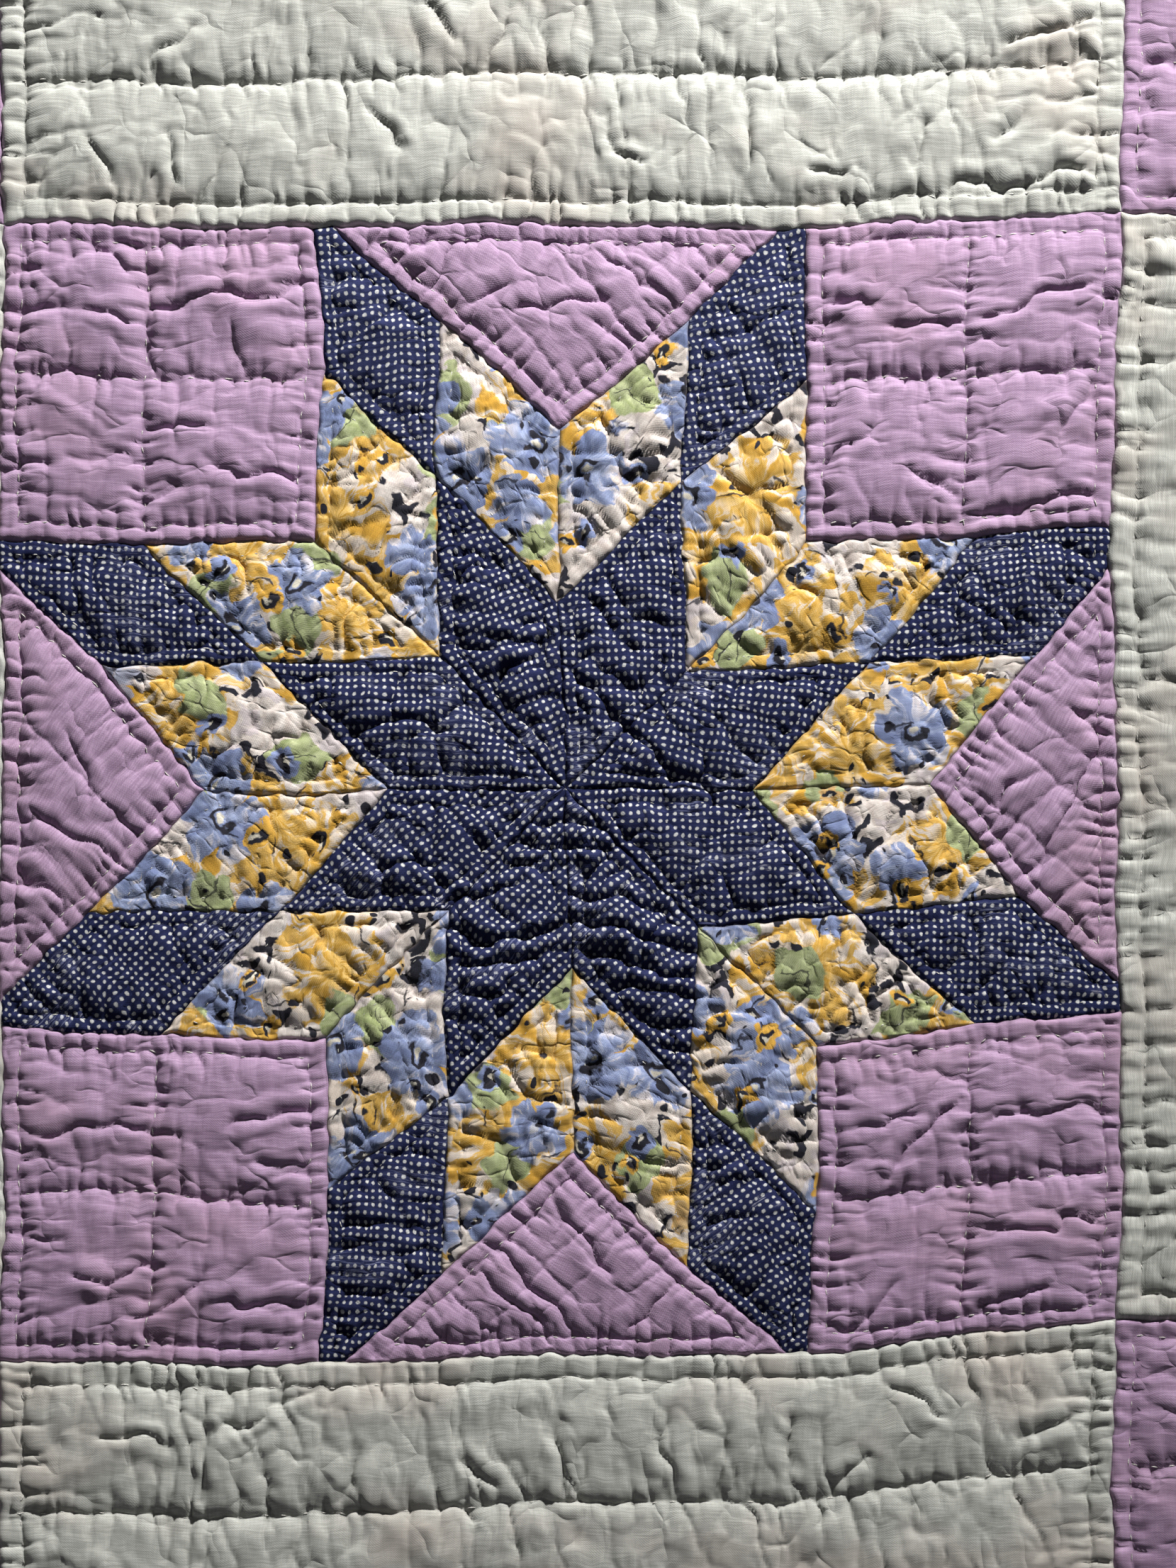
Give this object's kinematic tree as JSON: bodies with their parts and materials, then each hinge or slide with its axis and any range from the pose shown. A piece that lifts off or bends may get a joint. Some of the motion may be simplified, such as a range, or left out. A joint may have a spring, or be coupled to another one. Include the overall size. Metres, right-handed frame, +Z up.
{
  "type": "patchwork quilt block",
  "caption": "Flat cut length of an old hand-quilted patchwork quilt: an eight-pointed star block pieced from small diamonds, with plain sashing and cornerstones.",
  "frame": {"origin": "middle of the bounding box, on the flat underside that lies on the table", "axes": "+Z up out of the quilt's face, +Y towards the block's upper side as pictured, +X to the right"},
  "size_m": [0.4869, 0.496, 0.0045],
  "materials": {
    "quilt_cotton": "washed, quilted plain-weave cotton"
  },
  "bodies": {
    "root": {"quilt": "quilt_cotton"}
  },
  "joints": []
}
